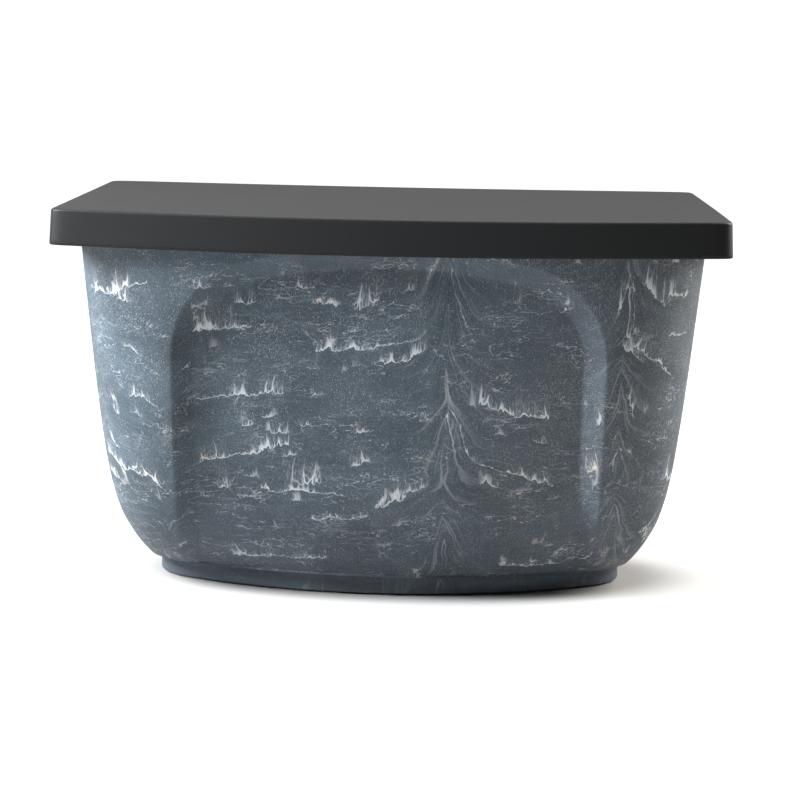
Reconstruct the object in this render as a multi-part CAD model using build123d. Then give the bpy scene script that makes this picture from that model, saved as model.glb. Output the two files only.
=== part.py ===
from build123d import *
import math
import os

os.makedirs("parts", exist_ok=True)

# A hand-operated wash tub: a moulded tub with an arched recess on its front and back, a lift-off lid
# with a seal, and a slotted steel basket with two swinging handles inside.
# Millimetres. +Z is up, X is the long side, the front faces -Y. The origin is at the middle of the
# underside, on the surface that the tub stands on.

# ---- driving dimensions -------------------------------------------------------------------------
LID_HALF_X = 200.0           # outer half width of the lid
LID_HALF_Y = 140.0           # outer half depth of the lid, at the crown of its bulged long sides
LID_CROWN_X = 1.9            # how far the short sides bulge
LID_CROWN_Y = 12.7           # how far the long sides bulge
LID_CORNER_R = 10.0
SKIRT_BOTTOM_Z = 215.3       # lower edge of the lid's skirt, at mid width
LID_TOP_Z = 236.3            # top of the lid, at mid width
LID_RISE = 1.9               # how much higher the lid's short ends are than its middle
LID_WALL = 2.6
LID_UNDERSIDE_Z = 233.2
LID_EDGE_R = 1.8
RIB_INSET = 5.0              # lid's locating rib, in from the tub's outside at the rim
RIB_THICK = 2.0
RIB_HEIGHT = 8.0
SEAL_WIDTH = 4.5

RIM_Z = 229.0                # top of the tub's rim flange
RIM_THICK = 3.0
RIM_GAP = 2.0                # rim flange to the inside of the lid's skirt
WALL = 3.0
FLOOR_Z = 11.5               # inside floor of the tub
BASE_Z = 8.0                 # where the belly meets the foot ring
RING_BOTTOM_Z = 1.0
RING_WALL = 4.0
RING_STEP = 2.0              # foot ring set in from the belly
BELLY = ((8.0, 148.0), (13.0, 152.0), (20.0, 156.8), (30.0, 162.2), (45.0, 168.4), (70.0, 174.0),
         (110.0, 178.8), (229.0, 189.6))   # height, half width
DEPTH_INSET = 57.0           # at the rim, the half depth is the half width less this
FOOT_TUCK = 19.4             # and at the foot it is less by this much more
PLAN_CHANGE = 2.6            # how late, going down, the plan turns from the rim's to the foot's
SIDE_CROWN = 3.0             # how far the tub's short sides bulge
RIM_CROWN, FOOT_CROWN = 11.0, 44.0        # and its long sides, at the rim and at the foot
RIM_CORNER_R, FOOT_CORNER_R = 60.0, 38.0

ARCH_HALF_X = 127.5          # outer edge of the recess's legs
ARCH_TOP_Z = 220.0
ARCH_TOP_R = 330.0
ARCH_CORNER_R = 60.0
ARCH_SLOPE = 45.0            # slope of the recess's side walls, degrees
ARCH_LEAN = 10.0             # the recess's plane leans out at the top, degrees
ARCH_PLANE_Y = -131.5        # that plane's place at the rim
RECESS_DEPTH = 11.0
RECESS_FADE = 22.0           # the recess dies out towards the foot over this height
TOOL_PROUD = 18.0            # the recess's cutting tool starts this far outside its plane
TOOL_REACH = 44.0

PAD_X, PAD_Y, PAD_R, PAD_TOP_Z = 88.0, 34.0, 8.0, 3.0
BOSS_R = 9.0

BASKET_FLOOR_Z = 16.6        # underside of the basket's floor
BASKET_RIM_Z = 122.0
BASKET_BASE = (116.0, 60.0)  # half width and half depth at the floor
BASKET_TOP = (155.0, 90.0)
BASKET_CORNER_R = 48.0
BASKET_CROWN = 4.0
SHEET = 1.5                  # basket sheet metal
FLANGE_WIDTH = 6.0
SLOT_R = 3.5
SLOT_PITCH = 22.0
SLOT_LOW_Z, SLOT_HIGH_Z = 34.0, 104.0     # round ends of the slots in the walls
FLOOR_SLOT = 40.0            # length of the floor's slots, between their round ends
FOOT_R, FOOT_X, FOOT_Y = 7.0, 76.0, 32.0
REST_GAP = 0.1               # between a part at rest and what it stands on

WIRE_R = 2.5                 # handle wire
PIVOT_GAP = 0.3
PIVOT_X, PIVOT_Z = 153.0, 129.5
HANDLE_HALF_Y = 44.0
HANDLE_REACH = 55.0
LUG_Y, LUG_THICK, LUG_HALF = 51.0, 3.0, 6.5
GRIP_R, GRIP_LENGTH = 6.5, 52.0

LONG = 400.0                 # longer than the object, for cutting tools


# ---- shared outlines ----------------------------------------------------------------------------
def bulged(half_x, half_y, crown_x, crown_y, corner_r):
    """A rounded rectangle whose four sides are shallow arcs."""
    corner_x = half_x - crown_x
    corner_y = half_y - crown_y
    sides = [
        ThreePointArc((-corner_x, -corner_y), (0, -half_y), (corner_x, -corner_y)),
        ThreePointArc((corner_x, -corner_y), (half_x, 0), (corner_x, corner_y)),
        ThreePointArc((corner_x, corner_y), (0, half_y), (-corner_x, corner_y)),
        ThreePointArc((-corner_x, corner_y), (-half_x, 0), (-corner_x, -corner_y)),
    ]
    face = make_face(sides)
    return fillet(face.vertices(), corner_r)


def lid_plan(inset):
    return bulged(LID_HALF_X - inset, LID_HALF_Y - inset, LID_CROWN_X, LID_CROWN_Y, LID_CORNER_R - inset)


def half_width(z):
    """Half width of the tub's outside at a height, on straight runs between the BELLY levels."""
    for (z0, w0), (z1, w1) in zip(BELLY, BELLY[1:]):
        if z <= z1:
            return w0 + (w1 - w0) * (z - z0) / (z1 - z0)
    return BELLY[-1][1]


def recess_depth(z):
    return RECESS_DEPTH * (1.0 - math.exp(-max(z - BASE_Z, 0.0) / RECESS_FADE))


def body_plan(z, inset=0.0, depth_cut=0.0):
    """Tub section: a rounded rectangle at the rim that turns to nearly an ellipse at the foot."""
    down = ((RIM_Z - z) / (RIM_Z - BASE_Z)) ** PLAN_CHANGE
    wide = half_width(z)
    deep = wide - DEPTH_INSET - FOOT_TUCK * down
    crown = RIM_CROWN + (FOOT_CROWN - RIM_CROWN) * down
    corner_r = RIM_CORNER_R + (FOOT_CORNER_R - RIM_CORNER_R) * down
    return bulged(wide - inset, deep - inset - depth_cut, SIDE_CROWN, crown, corner_r - inset)


def body_loft(inset, lift, depth_of, levels):
    """Loft of tub sections, moved in by inset and up by lift; depth_of thins it front to back."""
    sections = [Pos(0, 0, z + lift) * body_plan(z, inset, depth_of(z)) for z in levels]
    return loft(sections, ruled=True)


# ---- tub ----------------------------------------------------------------------------------------
def arch(grow):
    """Outline of the recess: two legs, a shallow arc across the top and large round shoulders."""
    half = ARCH_HALF_X + grow
    top = ARCH_TOP_Z + grow
    radius = ARCH_TOP_R + grow
    shoulder = top - radius + math.sqrt(radius ** 2 - half ** 2)
    foot = -60.0
    outline = make_face([
        Line((-half, foot), (half, foot)),
        Line((half, foot), (half, shoulder)),
        ThreePointArc((half, shoulder), (0, top), (-half, shoulder)),
        Line((-half, shoulder), (-half, foot)),
    ])
    shoulders = outline.vertices().sort_by(Axis.Y)[-2:]
    return fillet(shoulders, ARCH_CORNER_R + grow)


def arch_tool(grow):
    """The arch as a wedge that narrows inwards, square to the leaning front face."""
    lean = math.radians(ARCH_LEAN)
    outline = arch(grow + TOOL_PROUD * math.tan(math.radians(ARCH_SLOPE)))
    inward = Plane(origin=(0, ARCH_PLANE_Y - TOOL_PROUD, RIM_Z), x_dir=(-1, 0, 0),
                   z_dir=(0, math.cos(lean), math.sin(lean)))
    return extrude(inward * Pos(0, -RIM_Z) * outline, amount=TOOL_REACH, taper=ARCH_SLOPE)


def both_faces(tool):
    return [tool, mirror(tool, Plane.XZ)]


def tub_shell():
    levels = [z for z, _ in BELLY]
    slope_offset = WALL * math.sqrt(2)
    lift = FLOOR_Z - BASE_Z - 1.0
    outside = body_loft(0.0, 0.0, lambda z: 0.0, levels)
    panel = body_loft(0.0, 0.0, recess_depth, levels)
    inside = body_loft(WALL, lift, lambda z: 0.0, levels)
    inside_panel = body_loft(WALL, lift, recess_depth, levels)
    inside -= Pos(0, 0, FLOOR_Z - LONG / 2) * Box(2 * LONG, 2 * LONG, LONG)
    for tool in both_faces(arch_tool(0.0)):
        outside -= tool - panel
    for tool in both_faces(arch_tool(slope_offset)):
        inside -= tool - inside_panel
    ring_plan = body_plan(BASE_Z, RING_STEP)
    ring_hollow = body_plan(BASE_Z, RING_STEP + RING_WALL)
    ring = Pos(0, 0, RING_BOTTOM_Z) * extrude(ring_plan, BASE_Z - RING_BOTTOM_Z)
    ring -= Pos(0, 0, RING_BOTTOM_Z) * extrude(ring_hollow, BASE_Z - RING_BOTTOM_Z)
    rim = Pos(0, 0, RIM_Z - RIM_THICK) * extrude(lid_plan(LID_WALL + RIM_GAP), RIM_THICK)
    shell = outside + rim + ring
    for x in (-PAD_X, PAD_X):
        for y in (-PAD_Y, PAD_Y):
            shell += Pos(x, y, (PAD_TOP_Z + BASE_Z) / 2) * Cylinder(BOSS_R, BASE_Z - PAD_TOP_Z)
    return shell - inside


def foot_pads():
    pad = Cylinder(PAD_R, PAD_TOP_Z)
    return Compound([Pos(x, y, PAD_TOP_Z / 2) * pad for x in (-PAD_X, PAD_X) for y in (-PAD_Y, PAD_Y)])


# ---- lid ----------------------------------------------------------------------------------------
def dished_band(low_z, high_z):
    """Slab whose lower and upper faces rise by LID_RISE towards the short ends."""
    half = LID_HALF_X
    outline = make_face([
        ThreePointArc((-half, low_z + LID_RISE), (0, low_z), (half, low_z + LID_RISE)),
        Line((half, low_z + LID_RISE), (half, high_z + LID_RISE)),
        ThreePointArc((half, high_z + LID_RISE), (0, high_z), (-half, high_z + LID_RISE)),
        Line((-half, high_z + LID_RISE), (-half, low_z + LID_RISE)),
    ])
    return extrude(Plane.XZ * outline, LONG / 2, both=True)


def lid_shell():
    skirt_height = LID_TOP_Z + LID_RISE - SKIRT_BOTTOM_Z
    outside = Pos(0, 0, SKIRT_BOTTOM_Z) * extrude(lid_plan(0.0), skirt_height)
    outside &= dished_band(SKIRT_BOTTOM_Z, LID_TOP_Z)
    top_edges = outside.faces().sort_by(Axis.Z)[-1].edges()
    outside = fillet(top_edges, LID_EDGE_R)
    hollow_height = LID_UNDERSIDE_Z - SKIRT_BOTTOM_Z + 1.0
    hollow = Pos(0, 0, SKIRT_BOTTOM_Z - 1.0) * extrude(lid_plan(LID_WALL), hollow_height)
    rib = extrude(body_plan(RIM_Z, RIB_INSET), RIB_HEIGHT)
    rib -= extrude(body_plan(RIM_Z, RIB_INSET + RIB_THICK), RIB_HEIGHT)
    return outside - hollow + Pos(0, 0, LID_UNDERSIDE_Z - RIB_HEIGHT) * rib


def lid_seal():
    height = LID_UNDERSIDE_Z - RIM_Z - REST_GAP
    ring = extrude(body_plan(RIM_Z, RIB_INSET - SEAL_WIDTH), height)
    ring -= extrude(body_plan(RIM_Z, RIB_INSET), height)
    return Pos(0, 0, RIM_Z + REST_GAP) * ring


# ---- basket -------------------------------------------------------------------------------------
def basket_plan(z, inset=0.0):
    up = (z - BASKET_FLOOR_Z) / (BASKET_RIM_Z - BASKET_FLOOR_Z)
    half_x = BASKET_BASE[0] + up * (BASKET_TOP[0] - BASKET_BASE[0])
    half_y = BASKET_BASE[1] + up * (BASKET_TOP[1] - BASKET_BASE[1])
    return bulged(half_x - inset, half_y - inset, BASKET_CROWN / 2, BASKET_CROWN, BASKET_CORNER_R - inset)


def basket_frustum(z0, z1, inset):
    return loft([Pos(0, 0, z) * basket_plan(z, inset) for z in (z0, z1)], ruled=True)


def wall_slots():
    """Upright slots through all four walls, as long round-ended bars."""
    slot = SlotCenterToCenter(SLOT_HIGH_Z - SLOT_LOW_Z, 2 * SLOT_R, rotation=90)
    middle = Pos(0, 0, (SLOT_LOW_Z + SLOT_HIGH_Z) / 2)
    through_front = middle * extrude(Plane.XZ * slot, LONG / 2, both=True)
    through_side = middle * extrude(Plane.YZ * slot, LONG / 2, both=True)
    bars = [Pos(SLOT_PITCH * (i - 4), 0, 0) * through_front for i in range(9)]
    return bars + [Pos(0, SLOT_PITCH * (i - 1), 0) * through_side for i in range(3)]


def floor_slots():
    slot = extrude(SlotCenterToCenter(FLOOR_SLOT, 2 * SLOT_R, rotation=90), 3 * SHEET)
    return [Pos(SLOT_PITCH * i, 0, BASKET_FLOOR_Z - SHEET) * slot for i in (-4, -2, -1, 0, 1, 2, 4)]


def wash_basket():
    basket = basket_frustum(BASKET_FLOOR_Z, BASKET_RIM_Z, 0.0)
    flange = extrude(basket_plan(BASKET_RIM_Z, -FLANGE_WIDTH), SHEET)
    basket += Pos(0, 0, BASKET_RIM_Z - SHEET) * flange
    hollow = basket_frustum(BASKET_FLOOR_Z, BASKET_RIM_Z, SHEET)
    hollow &= Pos(0, 0, BASKET_FLOOR_Z + SHEET + LONG / 2) * Box(LONG, LONG, LONG)
    return basket - hollow - wall_slots() - floor_slots()


def basket_feet():
    height = BASKET_FLOOR_Z - FLOOR_Z - REST_GAP
    foot = Pos(0, 0, FLOOR_Z + REST_GAP + height / 2) * Cylinder(FOOT_R, height)
    return Compound([Pos(x, y) * foot for x in (-FOOT_X, FOOT_X) for y in (-FOOT_Y, FOOT_Y)])


def handle_lug(side, end):
    """Ear on the basket's flange that one end of a handle turns in."""
    base = PIVOT_Z - BASKET_RIM_Z
    outline = make_face([
        Line((-LUG_HALF, 0), (LUG_HALF, 0)),
        Line((LUG_HALF, 0), (LUG_HALF, base)),
        ThreePointArc((LUG_HALF, base), (0, base + LUG_HALF), (-LUG_HALF, base)),
        Line((-LUG_HALF, base), (-LUG_HALF, 0)),
    ])
    outline -= Pos(0, base) * Circle(WIRE_R + PIVOT_GAP)
    ear = extrude(Plane.XZ * outline, LUG_THICK / 2, both=True)
    return Pos(side * PIVOT_X, end * LUG_Y, BASKET_RIM_Z) * ear


def handle_lugs():
    return Compound([handle_lug(side, end) for side in (-1, 1) for end in (-1, 1)])


# ---- handles ------------------------------------------------------------------------------------
def handle(side):
    """Wire handle, folded in over the basket: two legs, a cross bar and two out-turned pins."""
    pin_y = LUG_Y + LUG_THICK / 2 + 2.0
    pivot = side * PIVOT_X
    bar = side * (PIVOT_X - HANDLE_REACH)
    path = FilletPolyline(
        (pivot, -pin_y, PIVOT_Z), (pivot, -HANDLE_HALF_Y, PIVOT_Z), (bar, -HANDLE_HALF_Y, PIVOT_Z),
        (bar, HANDLE_HALF_Y, PIVOT_Z), (pivot, HANDLE_HALF_Y, PIVOT_Z), (pivot, pin_y, PIVOT_Z),
        radius=[3.5, 12.0, 12.0, 3.5])
    start = Plane(origin=path @ 0, z_dir=path % 0)
    return sweep(start * Circle(WIRE_R), path=path)


def grip(side):
    """Soft sleeve on the cross bar."""
    sleeve = Cylinder(GRIP_R, GRIP_LENGTH) - Cylinder(WIRE_R, GRIP_LENGTH)
    ends = sleeve.edges().filter_by(GeomType.CIRCLE).sort_by(SortBy.RADIUS)[-2:]
    sleeve = fillet(ends, GRIP_R / 3)
    return Pos(side * (PIVOT_X - HANDLE_REACH), 0, PIVOT_Z) * Rot(90, 0, 0) * sleeve


NODES = {
    "tub_shell": tub_shell(),
    "foot_pads": foot_pads(),
    "lid_shell": lid_shell(),
    "lid_seal": lid_seal(),
    "wash_basket": wash_basket(),
    "basket_feet": basket_feet(),
    "handle_lugs": handle_lugs(),
    "left_handle": handle(-1),
    "right_handle": handle(1),
    "left_grip": grip(-1),
    "right_grip": grip(1),
}

for name, shape in NODES.items():
    export_step(shape, f"parts/{name}.step")
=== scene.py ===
import math

import bpy
import numpy as np
from mathutils import Euler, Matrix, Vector


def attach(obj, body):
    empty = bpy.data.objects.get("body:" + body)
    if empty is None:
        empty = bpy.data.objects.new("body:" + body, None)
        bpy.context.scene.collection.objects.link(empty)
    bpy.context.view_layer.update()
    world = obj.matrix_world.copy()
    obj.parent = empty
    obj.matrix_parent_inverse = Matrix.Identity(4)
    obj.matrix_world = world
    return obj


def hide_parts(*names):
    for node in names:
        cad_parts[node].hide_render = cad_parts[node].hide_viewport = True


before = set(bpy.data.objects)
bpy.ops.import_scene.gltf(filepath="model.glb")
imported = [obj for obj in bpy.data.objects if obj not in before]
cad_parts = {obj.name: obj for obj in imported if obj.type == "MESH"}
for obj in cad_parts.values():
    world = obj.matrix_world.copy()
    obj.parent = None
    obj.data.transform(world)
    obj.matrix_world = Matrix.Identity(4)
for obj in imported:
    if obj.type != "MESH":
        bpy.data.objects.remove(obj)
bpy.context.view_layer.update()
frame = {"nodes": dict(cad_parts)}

MM = 0.001

# ---- sizes in millimetres, as the CAD model has them ---------------------------------------------
LID_X, LID_Y = 200.0, 140.0
LID_CROWN_X, LID_CROWN_Y, LID_CORNER = 1.9, 12.7, 10.0
LID_RISE = 1.9               # how much higher the lid's short ends are than its middle
SKIRT_BOTTOM, LID_TOP, LID_UNDERSIDE = 215.3, 236.3, 233.2
LID_WALL = 2.6
RIB_INSET, RIB_THICK, RIB_HEIGHT = 5.0, 2.0, 8.0
RIM_TOP, RIM_THICK, RIM_INSET = 229.0, 3.0, 4.6
WALL = 3.0
FLOOR_TOP, BASE, RING_BOTTOM = 11.5, 8.0, 1.0
RING_STEP, RING_WALL = 2.0, 4.0
DEPTH_INSET, FOOT_TUCK = 57.0, 19.4       # half width less half depth at the rim, and more at the foot
PLAN_CHANGE = 2.6            # how late, going down, the plan turns from the rim's to the foot's
SIDE_CROWN, RIM_CROWN, FOOT_CROWN = 3.0, 11.0, 44.0
RIM_CORNER, FOOT_CORNER = 60.0, 38.0
ARCH_X, ARCH_TOP, ARCH_TOP_R, ARCH_CORNER = 127.5, 220.0, 330.0, 60.0
RECESS, RECESS_FADE = 11.0, 22.0
PAD_X, PAD_Y = 88.0, 34.0
BOSS_R, BOSS_LOW = 9.0, 3.0

# ---- sizes in millimetres, of the visual model only ----------------------------------------------
LID_SQUARE = 55.0            # exponent of the superellipse that the lid's corners follow
LID_DIP = 1.3                # how much of LID_RISE the middle of a short side lacks
LID_EDGE = 1.4               # radius of the lid's top edge
LID_DRAFT = 0.9              # how far the skirt leans in from its lower edge to the top
BOX_GAP = 0.05               # keeps the lid just inside the CAD box
FOOT_TOP = 13.0              # where the belly overhangs the foot ring
BELLY = ((8.0, 148.0), (13.0, 152.0), (20.0, 156.8), (30.0, 162.2), (45.0, 168.4), (70.0, 174.0),
         (110.0, 178.8), (170.0, 184.3), (229.0, 189.6))   # height, half width
ARCH_SLOPE = 12.0            # width of the recess's sloping side wall
ARCH_SOFT = 0.9              # how far its edges are rounded over


# ---- outlines and profiles -----------------------------------------------------------------------
def smooth_curve(xs, ys):
    """Monotone cubic through the points, as a function that takes arrays."""
    xs, ys = np.array(xs, float), np.array(ys, float)
    h, d = np.diff(xs), np.diff(ys) / np.diff(xs)
    m = np.zeros_like(xs)
    w1, w2 = 2 * h[1:] + h[:-1], h[1:] + 2 * h[:-1]
    m[1:-1] = (w1 + w2) / (w1 / d[:-1] + w2 / d[1:])
    m[0], m[-1] = d[0], d[-1]

    def at(x):
        x = np.clip(x, xs[0], xs[-1])
        i = np.clip(np.searchsorted(xs, x) - 1, 0, len(h) - 1)
        t = (x - xs[i]) / h[i]
        a, b = ys[i] + 0 * x, ys[i + 1] + 0 * x
        return (a * (1 + 2 * t) * (1 - t) ** 2 + h[i] * m[i] * t * (1 - t) ** 2
                + b * t ** 2 * (3 - 2 * t) + h[i] * m[i + 1] * t ** 2 * (t - 1))
    return at


half_width = smooth_curve(*zip(*BELLY))


def bulged_quarter(half_x, half_y, crown_x, crown_y, corner, counts):
    """First quarter of a rounded rectangle with bulged sides: from the +Y crown round to the +X crown."""
    a, b = half_x - crown_x, half_y - crown_y
    r1 = (a * a + crown_y ** 2) / (2 * crown_y)
    r2 = (b * b + crown_x ** 2) / (2 * crown_x)
    c1, c2 = np.array([0.0, half_y - r1]), np.array([half_x - r2, 0.0])
    apart = c2 - c1
    length = np.hypot(*apart)
    along = ((r1 - corner) ** 2 - (r2 - corner) ** 2 + length ** 2) / (2 * length)
    across = math.sqrt(max((r1 - corner) ** 2 - along ** 2, 0.0))
    unit = apart / length
    sideways = across * np.array([-unit[1], unit[0]])
    centre = max(c1 + along * unit + sideways, c1 + along * unit - sideways, key=sum)
    to_long, to_short = centre - c1, centre - c2
    end_long = math.atan2(to_long[0], to_long[1])
    end_short = math.atan2(to_short[1], to_short[0])
    f = np.linspace(0, end_long, counts[0], endpoint=False)
    long_side = np.stack([r1 * np.sin(f), c1[1] + r1 * np.cos(f)], -1)
    f = np.linspace(math.pi / 2 - end_long, end_short, counts[1], endpoint=False)
    turn = centre + corner * np.stack([np.cos(f), np.sin(f)], -1)
    f = np.linspace(end_short, 0, counts[2] + 1)
    short_side = np.stack([c2[0] + r2 * np.cos(f), r2 * np.sin(f)], -1)
    return np.vstack([long_side, turn, short_side])


def bulged_loop(half_x, half_y, crown_x, crown_y, corner, counts):
    """The whole outline, counter-clockwise from the +Y crown's mirror image; no point repeats."""
    q = bulged_quarter(half_x, half_y, crown_x, crown_y, max(corner, 0.5), counts)
    right = np.vstack([q, q[-2::-1] * [1, -1]])
    left = right[-2:0:-1] * [-1, 1]
    return np.vstack([right, left])[::-1]


# Points along the long side, the corner and the short side of a quarter of an outline
TUB_COUNTS = (120, 34, 26)


def tub_loop(z, inset=0.0, counts=TUB_COUNTS):
    """Tub section: a rounded rectangle at the rim that turns to nearly an ellipse at the foot."""
    down = min(max((RIM_TOP - z) / (RIM_TOP - BASE), 0.0), 1.0) ** PLAN_CHANGE
    wide = float(half_width(np.array(z)))
    deep = wide - DEPTH_INSET - FOOT_TUCK * down
    crown = RIM_CROWN + (FOOT_CROWN - RIM_CROWN) * down
    corner = RIM_CORNER + (FOOT_CORNER - RIM_CORNER) * down
    return bulged_loop(wide - inset, deep - inset, SIDE_CROWN, crown, corner - inset, counts)


def arch_distance(x, z):
    """How far inside the recess's outer edge a place is, from its legs, top arc and round shoulders."""
    x = np.abs(x)
    middle = ARCH_TOP - ARCH_TOP_R
    shoulder_x = ARCH_X - ARCH_CORNER
    shoulder_z = middle + math.sqrt((ARCH_TOP_R - ARCH_CORNER) ** 2 - shoulder_x ** 2)
    leg = ARCH_X - x
    top = ARCH_TOP_R - np.hypot(x, z - middle)
    shoulder = ARCH_CORNER - np.hypot(x - shoulder_x, z - shoulder_z)
    rounded = (z > shoulder_z) & (x * (shoulder_z - middle) > shoulder_x * (z - middle))
    return np.where(rounded, shoulder, np.minimum(leg, top))


def soft_ramp(t, width, soft):
    """0 before the edge, 1 past the slope, straight between, with both ends rounded over."""
    def soft_step(v):
        return np.where(v < -soft, 0.0, np.where(v > soft, v, (v + soft) ** 2 / (4 * soft)))
    return (soft_step(t) - soft_step(t - width)) / width


def recess(x, z):
    """How far the front and back are pushed in at a place."""
    depth = RECESS * (1.0 - np.exp(-np.maximum(z - BASE, 0.0) / RECESS_FADE))
    return depth * soft_ramp(arch_distance(x, z) - ARCH_SOFT * 0.4, ARCH_SLOPE, ARCH_SOFT)


# ---- mesh building -------------------------------------------------------------------------------
def skin(name, rings, close_start=False, close_end=False):
    """Mesh through a list of rings of equal length, (x, y, z) in millimetres, each a closed loop."""
    n = len(rings[0])
    verts = np.vstack(rings) * MM
    faces = []
    for k in range(len(rings) - 1):
        a, b = k * n, (k + 1) * n
        faces += [(a + i, a + (i + 1) % n, b + (i + 1) % n, b + i) for i in range(n)]
    if close_start:
        faces.append(tuple(range(n))[::-1])
    if close_end:
        last = (len(rings) - 1) * n
        faces.append(tuple(last + i for i in range(n)))
    mesh = bpy.data.meshes.new(name)
    mesh.from_pydata(verts.tolist(), [], faces)
    mesh.update()
    for polygon in mesh.polygons:
        polygon.use_smooth = True
    piece = bpy.data.objects.new(name, mesh)
    bpy.context.scene.collection.objects.link(piece)
    return piece


def at_height(loop, z):
    """A flat outline at a height, or with a height for each of its points."""
    return np.column_stack([loop, np.broadcast_to(z, len(loop))])


def round_over(centre_inset, centre_z, radius, start, end, steps):
    """Quarter-round of an edge as (inset, z) pairs; angles in degrees, 0 outwards, 90 up."""
    angles = np.radians(np.linspace(start, end, steps))
    return [(centre_inset - radius * math.cos(a), centre_z + radius * math.sin(a)) for a in angles]


# ---- tub -----------------------------------------------------------------------------------------
def even_heights(low, high, step):
    """Heights between two levels, evenly spaced along the belly's curve."""
    z = np.linspace(low, high, 2000)
    run = np.concatenate([[0], np.cumsum(np.hypot(np.diff(z), np.diff(half_width(z))))])
    return np.interp(np.linspace(0, run[-1], int(run[-1] / step) + 1), run, z)


def recessed_ring(z):
    """Tub section with the recess pushed into its front and back."""
    loop = tub_loop(z)
    loop[:, 1] -= np.sign(loop[:, 1]) * recess(loop[:, 0], np.full(len(loop), z))
    return at_height(loop, z)


def wall_normals(grid):
    """Outward unit normals of a grid of rings."""
    around = np.roll(grid, -1, 1) - np.roll(grid, 1, 1)
    up = np.gradient(grid, axis=0)
    normal = np.cross(around, up)
    return normal / np.linalg.norm(normal, axis=2, keepdims=True)


def rim_loop(inset):
    """Outline of the tub's rim flange, by its distance from the lid's outside."""
    return bulged_loop(LID_X - inset, LID_Y - inset, LID_CROWN_X, LID_CROWN_Y, LID_CORNER - inset,
                       TUB_COUNTS)


def shrunk(ring, factors, z=None):
    """Copies of a ring drawn in towards the middle."""
    out = []
    for f in factors:
        copy = ring * [f, f, 1]
        if z is not None:
            copy[:, 2] = z
        out.append(copy)
    return out


def foot_rings():
    """From the middle of the underside down inside the foot ring, round its lip and up to the belly."""
    lip = 0.7
    inner = tub_loop(BASE, RING_STEP + RING_WALL)
    outer = tub_loop(BASE, RING_STEP)
    rings = shrunk(at_height(inner, BASE), (0.02, 0.5, 0.985))
    rings += [at_height(inner, BASE), at_height(inner, RING_BOTTOM + lip)]
    rings += [at_height(tub_loop(BASE, RING_STEP + i), z) for i, z in
              [(RING_WALL - 0.3, RING_BOTTOM), (lip, RING_BOTTOM), (0.2, RING_BOTTOM + 0.2)]]
    rings += [at_height(outer, z) for z in (RING_BOTTOM + lip, BASE, FOOT_TOP - 1.2)]
    rings += [at_height(tub_loop(FOOT_TOP, i), z) for i, z in
              [(4.6, FOOT_TOP - 0.4), (3.6, FOOT_TOP), (0.8, FOOT_TOP), (0.2, FOOT_TOP + 0.2)]]
    return rings


def flange_rings():
    """From under the rim flange, round its edge, to its top."""
    low = RIM_TOP - RIM_THICK
    return [at_height(rim_loop(RIM_INSET + i), z) for i, z in
            [(2.0, low), (0.5, low), (0.0, low + 0.5), (0.0, RIM_TOP - 0.9),
             (0.3, RIM_TOP - 0.3), (0.9, RIM_TOP)]]


def mouth_rings(mouth):
    """Round the inner edge of the rim, down to the first ring of the inside."""
    half_x, half_y = 186.0, 129.0
    rings = []
    for grow, z in ((1.5, RIM_TOP), (0.4, RIM_TOP - 0.4), (0.0, RIM_TOP - 1.2)):
        ring = mouth * [1 + grow / half_x, 1 + grow / half_y, 1]
        ring[:, 2] = z
        rings.append(ring)
    return rings


def make_tub():
    """The tub in one skin: underside, foot ring, recessed belly, rim flange, inside and floor."""
    heights = even_heights(FOOT_TOP + 0.6, RIM_TOP - RIM_THICK, 1.5)
    outside = np.array([recessed_ring(z) for z in heights])
    inside = outside - WALL * wall_normals(outside)
    inside[:, :, 2] = np.maximum(inside[:, :, 2], FLOOR_TOP)
    rings = foot_rings() + list(outside) + flange_rings() + mouth_rings(inside[-1])
    rings += list(inside[::-3])
    rings += shrunk(inside[0], (0.95, 0.6, 0.3, 0.02), FLOOR_TOP)
    tub = skin("tub_body", rings, True, True)
    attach(tub, "tub")
    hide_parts("tub_shell")
    return tub


def make_pad_bosses():
    """Short posts under the floor that carry the rubber pads."""
    turn = np.linspace(0, 2 * math.pi, 48, endpoint=False)
    circle = np.column_stack([np.cos(turn), np.sin(turn)])
    outline = ((0.5, BOSS_LOW), (BOSS_R - 0.4, BOSS_LOW), (BOSS_R, BOSS_LOW + 0.4), (BOSS_R, BASE - 1.0),
               (BOSS_R + 1.0, BASE))
    for i, x in enumerate((-PAD_X, PAD_X)):
        for j, y in enumerate((-PAD_Y, PAD_Y)):
            rings = [at_height(circle * r + [x, y], z) for r, z in outline]
            boss = skin(f"pad_boss_{i}{j}", rings, True, False)
            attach(boss, "tub")
            yield boss


# ---- lid -----------------------------------------------------------------------------------------
def lid_loop(inset):
    """The lid's outline: sides that bulge a little and turn gradually into tight corners."""
    inset = inset + BOX_GAP
    box = rim_loop(inset) / [LID_X - inset, LID_Y - inset]
    u, v = (box / np.sum(np.abs(box) ** LID_SQUARE, 1, keepdims=True) ** (1 / LID_SQUARE)).T
    x = u * (LID_X - inset - LID_CROWN_X * v ** 2)
    y = v * (LID_Y - inset - LID_CROWN_Y * u ** 2)
    return np.column_stack([x, y])


def lid_rise(ring):
    """The lid's short ends stand higher than its middle, and its corners higher still."""
    to_end, to_corner = np.abs(ring[:, 0]) / LID_X, np.abs(ring[:, 1]) / LID_Y
    return to_end ** 2 * (LID_RISE - LID_DIP * (1.0 - to_corner ** 2.2) * to_end ** 4)


def lid_ring(inset, z):
    """Outline of the lid at a height, which rises towards the short ends."""
    loop = lid_loop(inset)
    return at_height(loop, z + lid_rise(loop))


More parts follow.
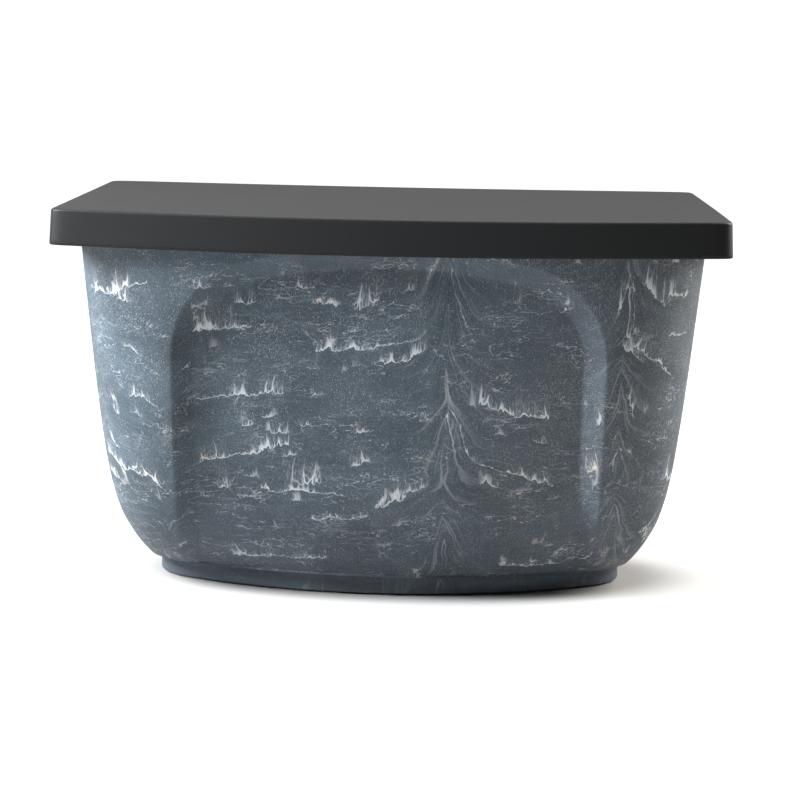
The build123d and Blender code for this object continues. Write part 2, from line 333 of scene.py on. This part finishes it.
def underside_rings():
    """From the middle of the lid's underside, round the locating rib, out to the skirt."""
    rib_low = LID_UNDERSIDE - RIB_HEIGHT
    rib_inner = RIB_INSET + RIB_THICK
    rings = shrunk(at_height(tub_loop(RIM_TOP, rib_inner), LID_UNDERSIDE), (0.02, 0.5, 0.98, 1.0))
    rings += [at_height(tub_loop(RIM_TOP, i), z) for i, z in
              [(rib_inner, rib_low + 0.4), (rib_inner - 0.4, rib_low), (RIB_INSET + 0.4, rib_low),
               (RIB_INSET, rib_low + 0.4), (RIB_INSET, LID_UNDERSIDE)]]
    rings += [at_height(lid_loop(LID_WALL + 0.6), LID_UNDERSIDE),
              at_height(lid_loop(LID_WALL), LID_UNDERSIDE - 0.6)]
    return rings


def skirt_rings():
    """Down the inside of the skirt, round its lower edge, up its outside and over the top edge."""
    side_low, side_top = SKIRT_BOTTOM + 0.8, LID_TOP - LID_EDGE
    rings = [lid_ring(i, z) for i, z in
             [(LID_WALL, SKIRT_BOTTOM + 0.7), (LID_WALL - 0.2, SKIRT_BOTTOM + 0.2),
              (LID_WALL - 0.7, SKIRT_BOTTOM), (0.8, SKIRT_BOTTOM), (0.25, SKIRT_BOTTOM + 0.2),
              (0.0, side_low)]]
    rings += [lid_ring(LID_DRAFT * t, side_low + t * (side_top - side_low))
              for t in np.linspace(0.1, 1.0, 8)]
    rings += [lid_ring(i, z) for i, z in
              round_over(LID_DRAFT + LID_EDGE, side_top, LID_EDGE, 10, 90, 8)]
    return rings


def top_rings():
    """From the lid's top edge in to its middle, along the saddle of its top."""
    edge = lid_ring(LID_DRAFT + LID_EDGE, LID_TOP)
    factors = np.concatenate([np.linspace(0.992, 0.9, 8), np.linspace(0.84, 0.02, 16)])
    rings = shrunk(edge, factors)
    for ring in rings:
        ring[:, 2] = LID_TOP + lid_rise(ring)
    return rings


def make_lid():
    """The lid in one skin: underside with its rib, skirt and top."""
    lid = skin("lid_body", underside_rings() + skirt_rings() + top_rings(), True, True)
    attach(lid, "lid")
    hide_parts("lid_shell")
    return lid


# ---- shader helpers ------------------------------------------------------------------------------
class Wire:
    """A number or vector socket that ordinary arithmetic can be written with."""

    def __init__(self, graph, socket):
        self.graph, self.socket = graph, socket

    def __add__(self, other):
        return self.graph.math("ADD", self, other)

    def __radd__(self, other):
        return self.graph.math("ADD", other, self)

    def __sub__(self, other):
        return self.graph.math("SUBTRACT", self, other)

    def __rsub__(self, other):
        return self.graph.math("SUBTRACT", other, self)

    def __mul__(self, other):
        return self.graph.math("MULTIPLY", self, other)

    def __rmul__(self, other):
        return self.graph.math("MULTIPLY", other, self)

    def __truediv__(self, other):
        return self.graph.math("DIVIDE", self, other)

    def power(self, other):
        return self.graph.math("POWER", self, other)

    def floor(self):
        return self.graph.math("FLOOR", self)

    def abs(self):
        return self.graph.math("ABSOLUTE", self)

    def exp(self):
        return self.graph.math("EXPONENT", self)

    def step(self, low, high):
        """Smooth 0 to 1 as this goes from low to high; low may be above high."""
        node = self.graph.add("ShaderNodeMapRange", interpolation_type="SMOOTHSTEP")
        self.graph.feed(node.inputs["Value"], self)
        node.inputs["From Min"].default_value = min(low, high)
        node.inputs["From Max"].default_value = max(low, high)
        node.inputs["To Min"].default_value = 0.0 if low < high else 1.0
        node.inputs["To Max"].default_value = 1.0 if low < high else 0.0
        return Wire(self.graph, node.outputs["Result"])


class Graph:
    """A material's node tree, with short calls for what the looks below need."""

    def __init__(self, name):
        self.material = bpy.data.materials.new(name)
        self.material.use_nodes = True
        self.tree = self.material.node_tree
        self.shader = self.tree.nodes["Principled BSDF"]
        coords = self.add("ShaderNodeTexCoord")
        split = self.add("ShaderNodeSeparateXYZ")
        self.tree.links.new(coords.outputs["Object"], split.inputs[0])
        self.x, self.y, self.z = (Wire(self, split.outputs[i]) * 1000.0 for i in range(3))

    def add(self, kind, **settings):
        node = self.tree.nodes.new(kind)
        for key, value in settings.items():
            setattr(node, key, value)
        return node

    def feed(self, socket, value):
        if isinstance(value, Wire):
            self.tree.links.new(value.socket, socket)
        else:
            socket.default_value = value

    def math(self, operation, *values):
        node = self.add("ShaderNodeMath", operation=operation)
        for socket, value in zip(node.inputs, values):
            self.feed(socket, value)
        return Wire(self, node.outputs[0])

    def least(self, a, b):
        return self.math("MINIMUM", a, b)

    def most(self, a, b):
        return self.math("MAXIMUM", a, b)

    def place(self, x, y, z):
        node = self.add("ShaderNodeCombineXYZ")
        for socket, value in zip(node.inputs, (x, y, z)):
            self.feed(socket, value)
        return Wire(self, node.outputs[0])

    def noise(self, where, detail=2.0, rough=0.5):
        """Noise with features about one unit across."""
        node = self.add("ShaderNodeTexNoise", noise_dimensions="3D")
        self.feed(node.inputs["Vector"], where)
        node.inputs["Scale"].default_value = 1.0
        node.inputs["Detail"].default_value = detail
        node.inputs["Roughness"].default_value = rough
        return Wire(self, node.outputs["Fac"])

    def blend(self, amount, first, second):
        """Colour mix; first and second are colours or wires."""
        node = self.add("ShaderNodeMix", data_type="RGBA")
        self.feed(node.inputs["Factor"], amount)
        for socket, value in ((node.inputs[6], first), (node.inputs[7], second)):
            if isinstance(value, Wire):
                self.tree.links.new(value.socket, socket)
            else:
                socket.default_value = (*value, 1.0)
        return Wire(self, node.outputs[2])

    def set(self, **values):
        """Shader sockets by name, with underscores for spaces."""
        for name, value in values.items():
            socket = self.shader.inputs[name.replace("_", " ")]
            if isinstance(value, tuple):
                value = (*value, 1.0)
            self.feed(socket, value)

    def bump(self, height, strength, distance):
        node = self.add("ShaderNodeBump")
        self.feed(node.inputs["Height"], height)
        node.inputs["Strength"].default_value = strength
        node.inputs["Distance"].default_value = distance
        self.tree.links.new(node.outputs["Normal"], self.shader.inputs["Normal"])


# ---- marbled plastic -----------------------------------------------------------------------------
SLATE_DARK = (0.043, 0.063, 0.083)
SLATE_LIGHT = (0.104, 0.149, 0.187)
# Warm grey serves the plastic's random warm tone and also the painted warm light on the right side.
WARM_GREY_TONE_AND_PAINTED_LIGHT = (0.096, 0.098, 0.116)
STREAK = (0.78, 0.83, 0.88)
CREAM = (0.88, 0.84, 0.79)

# Weld lines, where the streaks are drawn up or down: x, reach along x, height, how much they fan out
PLUMES = (
    (34.0, 8.0, 42.0, 1.0),
    (137.0, 7.0, 34.0, 0.9),
    (-133.0, 7.0, -16.0, 0.2),
    (-172.0, 7.0, 12.0, 0.2),
)

# Strong streaks on the front: x, z, half length, slope, flame height
FRONT_STREAKS = (
    (-88.0, 128.0, 34.0, 0.10, 12.0),
    (-98.0, 169.0, 22.0, -0.02, 13.0),
    (-150.0, 77.0, 26.0, 0.06, 10.0),
    (-86.0, 92.0, 34.0, 0.24, 9.0),
    (-158.0, 188.0, 22.0, 0.55, 10.0),
    (-50.0, 68.0, 32.0, -0.06, 5.0),
    (2.0, 60.0, 12.0, 0.22, 14.0),
    (-28.0, 52.0, 22.0, 0.05, 5.0),
    (74.0, 118.0, 26.0, -0.08, 12.0),
    (66.0, 84.0, 40.0, -0.22, 6.0),
    (98.0, 20.0, 36.0, 0.08, 5.0),
    (150.0, 152.0, 22.0, -0.55, 15.0),
    (-60.0, 24.0, 30.0, -0.02, 8.0),
    (-20.0, 158.0, 30.0, 0.03, 8.0),
)


def spikes(g, seed, size):
    """Narrow upright peaks, 0 to 1, spread unevenly along the surface."""
    n = g.noise(g.place(g.x / size, g.y / size, seed), 1.0, 0.5)
    return g.most(1.0 - (n - 0.5).abs() * 9.0, 0.0).power(3.0)


def strokes(g):
    """What all streaks share: where flames grow tall, the short ones between, and fine hairs."""
    vary = g.noise(g.place(g.x / 13.0, g.y / 13.0, g.z / 36.0 + 8.0), 1.0).step(0.34, 0.66)
    short = spikes(g, g.z / 30.0 + 3.7, 2.6)
    hair = g.noise(g.place(g.x / 0.8, g.y / 0.8, g.z / 12.0), 1.0, 0.6).step(0.46, 0.70)
    return vary, short, hair


def streak(g, above, seed, reach, shared):
    """A thin jagged line with pointed flames on it, from the height above the line."""
    vary, short, hair = shared
    tall = spikes(g, seed, 9.0)
    above = above - tall * vary * (reach * 0.22) - short * (reach * 0.06)
    flame = (tall * vary + short * (vary * 0.35 + 0.10)) * reach + 0.42
    body = g.most(1.0 - above / flame, 0.0).power(0.8)
    haze = (above / (reach * -0.45)).exp() * vary * (hair * 0.75 + 0.06)
    return above.step(-0.25, 0.15) * g.least(g.most(body, haze), 1.0)


def streak_band(g, height, pitch, seed, wave, reach, share, shared):
    """Streaks a pitch apart that wander by the wave; the higher the share, the fewer are there."""
    long_wave = (g.noise(g.place(g.x / 110.0, g.y / 110.0, seed), 2.0) - 0.5) * (wave * 2.4)
    short_wave = (g.noise(g.place(g.x / 13.0, g.y / 13.0, g.z / 60.0 + seed), 5.0, 0.66) - 0.5) * wave
    level = (height - long_wave - short_wave) / pitch
    index = level.floor()
    there = g.noise(g.place(g.x / 30.0, g.y / 30.0, index * 7.31 + seed), 2.0, 0.6)
    there = there.step(share, share + 0.07)
    return there * streak(g, (level - index) * pitch, index * 5.3 + seed, reach, shared)


def front_streaks(g, height, shared):
    """The strong streaks that stand out on the front."""
    wander = (g.noise(g.place(g.x / 15.0, g.y / 15.0, g.z / 45.0 + 4.2), 5.0, 0.66) - 0.5) * 11.0
    level = height - wander
    nearest = 99.0
    for x, z, half, slope, reach in FRONT_STREAKS:
        along = g.x - x
        over = (level - along * slope - z) * (10.0 / reach)
        missed = over.step(-0.3, -0.5) + (along.abs() / half).step(0.75, 1.1)
        nearest = g.least(nearest, g.most(over, -1.0) + missed * 60.0)
    return streak(g, nearest, g.z / 50.0, 10.0, shared) * g.y.step(0.0, -30.0)


def ticks(g, wide, tall, seed, patch, share):
    """Scattered short upright strokes; patch says where there are more of them."""
    node = g.add("ShaderNodeTexVoronoi")
    g.feed(node.inputs["Vector"], g.place(g.x / wide, g.y / wide, g.z / tall + seed))
    luck = g.add("ShaderNodeSeparateColor")
    g.tree.links.new(node.outputs["Color"], luck.inputs[0])
    chosen = (Wire(g, luck.outputs[0]) + patch * share).step(1.0, 1.01)
    spot = Wire(g, node.outputs["Distance"]).step(0.36, 0.14)
    return spot * chosen * (Wire(g, luck.outputs[1]) * 0.7 + 0.3)


def curls(g, seed, size, patch):
    """Thin wandering lines that come and go."""
    n = g.noise(g.place(g.x / size, g.y / size, g.z / (size * 0.42) + seed), 3.0, 0.6)
    return (n - 0.5).abs().step(0.011, 0.002) * patch


def flow(g):
    """Height along the plastic's flow, which the weld lines bend, and how near a weld line is."""
    waver = (g.noise(g.place(g.x / 26.0, g.y / 26.0, g.z / 18.0), 3.0, 0.6) - 0.5) * 16.0
    pull = g.noise(g.place(g.x / 60.0, g.y / 60.0, g.z / 45.0 + 2.0), 1.0).step(0.22, 0.62)
    drawn, near = 0.0, 0.0
    for x, reach, rise, fanned in PLUMES:
        off = (g.x + waver * 0.35 - x).abs()
        drawn = drawn + ((off / -reach).exp() + (off / (reach * -2.6)).exp() * 0.25) * rise
        near = near + (off / (reach * -1.3)).exp() * fanned
    return g.z - drawn * (pull * 0.85 + 0.15) + waver * 0.5, near


def all_streaks(g, height):
    """Three sizes of repeated streaks, and the front's own."""
    shared = strokes(g)
    streaks = g.most(streak_band(g, height, 37.0, 1.3, 13.0, 19.0, 0.54, shared),
                     streak_band(g, height, 21.0, 6.4, 10.0, 12.0, 0.59, shared) * 0.85)
    streaks = g.most(streaks, streak_band(g, height, 13.0, 12.9, 8.0, 7.0, 0.61, shared) * 0.75)
    return g.most(streaks, front_streaks(g, height, shared))


def faint_marks(g, height, near):
    """Ticks, curls, threads along the flow, fans at the weld lines, and hairs."""
    patch = g.noise(g.place(g.x / 24.0, g.y / 24.0, g.z / 15.0), 3.0, 0.6).step(0.40, 0.66)
    other_patch = g.noise(g.place(g.x / 34.0 + 3.0, g.y / 34.0, g.z / 17.0), 3.0, 0.6).step(0.46, 0.62)
    faint = g.most(ticks(g, 1.5, 11.0, 0.0, patch * 0.75 + 0.25, 0.50),
                   ticks(g, 1.2, 2.6, 11.0, patch * 0.5 + 0.5, 0.40))
    faint = g.most(faint, curls(g, 3.0, 17.0, other_patch * 0.55))
    threads = g.noise(g.place(g.x / 16.0, g.y / 16.0, height / 0.8), 4.0, 0.6).step(0.57, 0.70)
    faint = g.most(faint, threads * (other_patch * 0.24 + 0.07))
    fan = g.noise(g.place(g.x / 40.0, g.y / 40.0, height / 6.5), 3.0, 0.65).step(0.52, 0.68)
    faint = g.most(faint, fan * g.least(near, 1.0) * 0.46)
    hairs = g.noise(g.place(g.x / 0.8, g.y / 0.8, height / 9.0), 2.0, 0.6).step(0.60, 0.74)
    return g.most(faint, hairs * (patch * 0.20 + 0.04))


def slate(g, height):
    """Colour of the plastic between its streaks, with painted warm light on its right side, and its fine
    grain.
    """
    tone = g.noise(g.place(g.x / 70.0, g.y / 70.0, height / 38.0), 4.0, 0.55).step(0.30, 0.70)
    warmth = g.noise(g.place(g.x / 90.0 + 7.0, g.y / 90.0, height / 60.0), 2.0).step(0.52, 0.74)
    grain = g.noise(g.place(g.x / 0.5, g.y / 0.5, g.z / 0.4), 2.0, 0.7)
    layered = g.noise(g.place(g.x / 40.0, g.y / 40.0, height / 2.2), 3.0, 0.6)
    shade = tone * 0.55 + layered * 0.6 + (grain - 0.5) * 2.4 - 0.08
    base = g.blend(shade, SLATE_DARK, SLATE_LIGHT)
    # Warmer grey on the right side, past x = 130 mm, is painted warm light from the right-hand lamp. The
    # grey also warms towards the bottom and in random patches of tone.
    cool_top_left_off_painted_warm_light = g.x.step(130.0, 10.0) * g.z.step(10.0, 100.0)
    return g.blend(warmth * 0.35 + (1.0 - cool_top_left_off_painted_warm_light) * 0.30, base, WARM_GREY_TONE_AND_PAINTED_LIGHT), grain


def marbled_plastic():
    """Slate plastic with pale streaks that flowed with it, drawn up and down at the weld lines."""
    g = Graph("marbled_plastic")
    height, near = flow(g)
    streaks = all_streaks(g, height)
    faint = faint_marks(g, height, near)
    base, grain = slate(g, height)
    cream = g.noise(g.place(g.x / 18.0, g.y / 18.0, g.z / 14.0 + 5.0), 2.0).step(0.54, 0.66)
    ink = g.blend(cream, STREAK, CREAM)
    # The streaks fade on the foot ring below the belly, which darkens the ring as painted shade under the
    # belly's overhang.
    white = g.least(g.most(streaks, faint), 1.0) * (g.z.step(11.0, 15.0) * 0.8 + 0.2)
    g.set(Base_Color=g.blend(white, base, ink), Roughness=0.47 - white * 0.07 + (grain - 0.5) * 0.12,
          IOR=1.48)
    g.bump(grain + white * 0.5, 0.08, 0.0003)
    return g.material


# ---- other materials -----------------------------------------------------------------------------
def textured_plastic(name, colour, light, rough):
    """Dark moulded plastic with a fine spark-eroded texture and faint rub marks."""
    g = Graph(name)
    fine = g.noise(g.place(g.x / 0.45, g.y / 0.45, g.z / 0.45), 3.0, 0.6)
    broad = g.noise(g.place(g.x / 60.0, g.y / 60.0, g.z / 60.0), 3.0)
    rub = g.noise(g.place(g.x / 45.0, g.y / 3.0, g.z / 3.0), 3.0, 0.6).step(0.55, 0.8)
    g.set(Base_Color=g.blend(fine * 0.5 + broad * 0.4, colour, light), IOR=1.40,
          Roughness=rough + (fine - 0.5) * 0.16 - rub * 0.05)
    g.bump(fine, 0.22, 0.00025)
    return g.material


def rubber(name, colour, light):
    """Soft matte rubber with a little dust."""
    g = Graph(name)
    fine = g.noise(g.place(g.x / 0.3, g.y / 0.3, g.z / 0.3), 2.0, 0.7)
    dust = g.noise(g.place(g.x / 9.0, g.y / 9.0, g.z / 9.0), 4.0, 0.6).step(0.4, 0.8)
    g.set(Base_Color=g.blend(dust * 0.5 + fine * 0.3, colour, light), IOR=1.43,
          Roughness=0.62 + (fine - 0.5) * 0.2)
    g.bump(fine, 0.3, 0.0002)
    return g.material


def steel(name, along):
    """Brushed stainless steel; along names the axis that the brush marks follow."""
    g = Graph(name)
    reach = {"x": (40.0, 0.25, 0.25), "y": (0.25, 40.0, 0.25), "z": (0.25, 0.25, 40.0)}[along]
    brush = g.noise(g.place(g.x / reach[0], g.y / reach[1], g.z / reach[2]), 3.0, 0.6)
    cloud = g.noise(g.place(g.x / 30.0, g.y / 30.0, g.z / 30.0), 3.0)
    g.set(Base_Color=g.blend(brush * 0.6 + cloud * 0.4, (0.50, 0.50, 0.51), (0.70, 0.70, 0.69)),
          Metallic=1.0, Roughness=0.24 + brush * 0.16)
    g.bump(brush, 0.15, 0.0002)
    return g.material


def dress(obj, material):
    """Give an object this material only."""
    obj.data.materials.clear()
    obj.data.materials.append(material)


# ---- stage, light and camera ---------------------------------------------------------------------
def make_floor():
    """Pale paper floor that takes the shadow near the foot; a painted glow, seen only by the camera,
    turns it plain white away from the foot.
    """
    mesh = bpy.data.meshes.new("studio_floor")
    half = 30.0                  # metres, far out of sight
    shadow_x, shadow_y = 148.0, 74.0      # half sizes of the shaded oval round the foot, millimetres
    mesh.from_pydata([(-half, -half, 0), (half, -half, 0), (half, half, 0), (-half, half, 0)], [],
                     [(0, 1, 2, 3)])
    floor = bpy.data.objects.new("studio_floor", mesh)
    bpy.context.scene.collection.objects.link(floor)
    g = Graph("floor_paper_painted_glow")
    # Painted glow: none inside the oval round the foot, set 12 mm to the right, so the floor there stays
    # darker as painted shade shaped like the shadow.
    away = g.math("SQRT", ((g.x - 12.0) / shadow_x).power(2.0) + (g.y / shadow_y).power(2.0))
    glow = away.step(0.97, 1.30) * 0.52 + away.step(1.0, 3.4) * 0.50
    seen = Wire(g, g.add("ShaderNodeLightPath").outputs["Is Camera Ray"])
    g.set(Base_Color=(0.37, 0.37, 0.37), Roughness=1.0, Specular_IOR_Level=0.0,
          Emission_Color=(1.0, 1.0, 1.0), Emission_Strength=glow * seen)
    dress(floor, g.material)


def softbox(name, place, target, size, power, colour):
    """A rectangular lamp at a place, in metres, that faces the target."""
    light = bpy.data.lights.new(name, "AREA")
    light.shape = "RECTANGLE"
    light.size, light.size_y = size
    light.energy = power
    light.color = colour
    box = bpy.data.objects.new(name, light)
    box.location = place
    box.rotation_euler = (Vector(target) - Vector(place)).to_track_quat("-Z", "Y").to_euler()
    bpy.context.scene.collection.objects.link(box)


def make_world():
    """Bright behind the object and to its left, dimmer in front, to the right and above; plain white
    where it is seen directly.
    """
    world = bpy.data.worlds.new("studio")
    bpy.context.scene.world = world
    world.use_nodes = True
    nodes, links = world.node_tree.nodes, world.node_tree.links
    background = nodes["Background"]
    coords = nodes.new("ShaderNodeTexCoord")
    split = nodes.new("ShaderNodeSeparateXYZ")
    links.new(coords.outputs["Generated"], split.inputs[0])
    to_left = nodes.new("ShaderNodeMath")
    to_left.operation = "MULTIPLY_ADD"
    links.new(split.outputs["X"], to_left.inputs[0])
    to_left.inputs[1].default_value = -0.5
    links.new(split.outputs["Y"], to_left.inputs[2])
    span = nodes.new("ShaderNodeMapRange")
    links.new(to_left.outputs[0], span.inputs["Value"])
    span.inputs["From Min"].default_value = 0.0
    span.inputs["From Max"].default_value = 1.2
    span.inputs["To Min"].default_value = 0.015
    span.inputs["To Max"].default_value = 0.68
    seen = nodes.new("ShaderNodeLightPath")
    pick = nodes.new("ShaderNodeMix")
    links.new(seen.outputs["Is Camera Ray"], pick.inputs["Factor"])
    links.new(span.outputs["Result"], pick.inputs["A"])
    pick.inputs["B"].default_value = 1.6
    links.new(pick.outputs["Result"], background.inputs["Strength"])
    background.inputs["Color"].default_value = (1.0, 1.0, 1.0, 1.0)


def make_camera():
    """Where the camera stands, which way it looks, and its small roll."""
    heading, yaw = math.radians(1.44), math.radians(-1.26)
    pitch, roll = math.radians(8.99), math.radians(1.08)
    reach, height = 1.4977, 0.3476
    data = bpy.data.cameras.new("camera")
    data.sensor_width = 36.0
    data.lens = 107.3
    data.clip_start = 0.05
    camera = bpy.data.objects.new("camera", data)
    camera.location = (reach * math.sin(heading), -reach * math.cos(heading), height)
    base = Euler((math.pi / 2 - pitch, 0.0, -yaw)).to_quaternion()
    tilt = Euler((0.0, 0.0, roll)).to_quaternion()
    camera.rotation_mode = "QUATERNION"
    camera.rotation_quaternion = base @ tilt
    bpy.context.scene.collection.objects.link(camera)
    bpy.context.scene.camera = camera


make_world()
make_floor()
make_camera()
softbox("key_left", (-0.90, -0.33, 0.74), (0, 0, 0.12), (0.4, 0.5), 34.0, (0.97, 0.99, 1.0))
softbox("fill_right", (1.08, 0.27, 0.80), (0, 0, 0.12), (0.5, 0.9), 30.0, (1.0, 0.95, 0.88))
softbox("front_low", (-0.9, -1.1, 0.12), (0, 0, 0.08), (0.6, 0.3), 1.5, (1.0, 1.0, 1.0))
softbox("top", (-0.5, 0.2, 1.5), (0, 0, 0.1), (1.5, 1.0), 6.0, (1.0, 1.0, 1.0))
bpy.context.scene.view_settings.view_transform = "Standard"

marble = marbled_plastic()
lid_black = textured_plastic("lid_plastic", (0.010, 0.011, 0.012), (0.019, 0.019, 0.021), 0.52)
dress(make_tub(), marble)
for boss in make_pad_bosses():
    dress(boss, marble)
dress(make_lid(), lid_black)
nodes = frame["nodes"]
dress(nodes["foot_pads"], rubber("pad_rubber", (0.02, 0.02, 0.02), (0.045, 0.045, 0.045)))
silicone = rubber("seal_rubber", (0.22, 0.23, 0.24), (0.30, 0.31, 0.32))
dress(nodes["lid_seal"], silicone)
dress(nodes["basket_feet"], silicone)
grip_rubber = rubber("grip_rubber", (0.03, 0.034, 0.038), (0.055, 0.06, 0.065))
dress(nodes["left_grip"], grip_rubber)
dress(nodes["right_grip"], grip_rubber)
dress(nodes["wash_basket"], steel("basket_steel", "x"))
dress(nodes["handle_lugs"], steel("lug_steel", "z"))
wire = steel("wire_steel", "y")
dress(nodes["left_handle"], wire)
dress(nodes["right_handle"], wire)
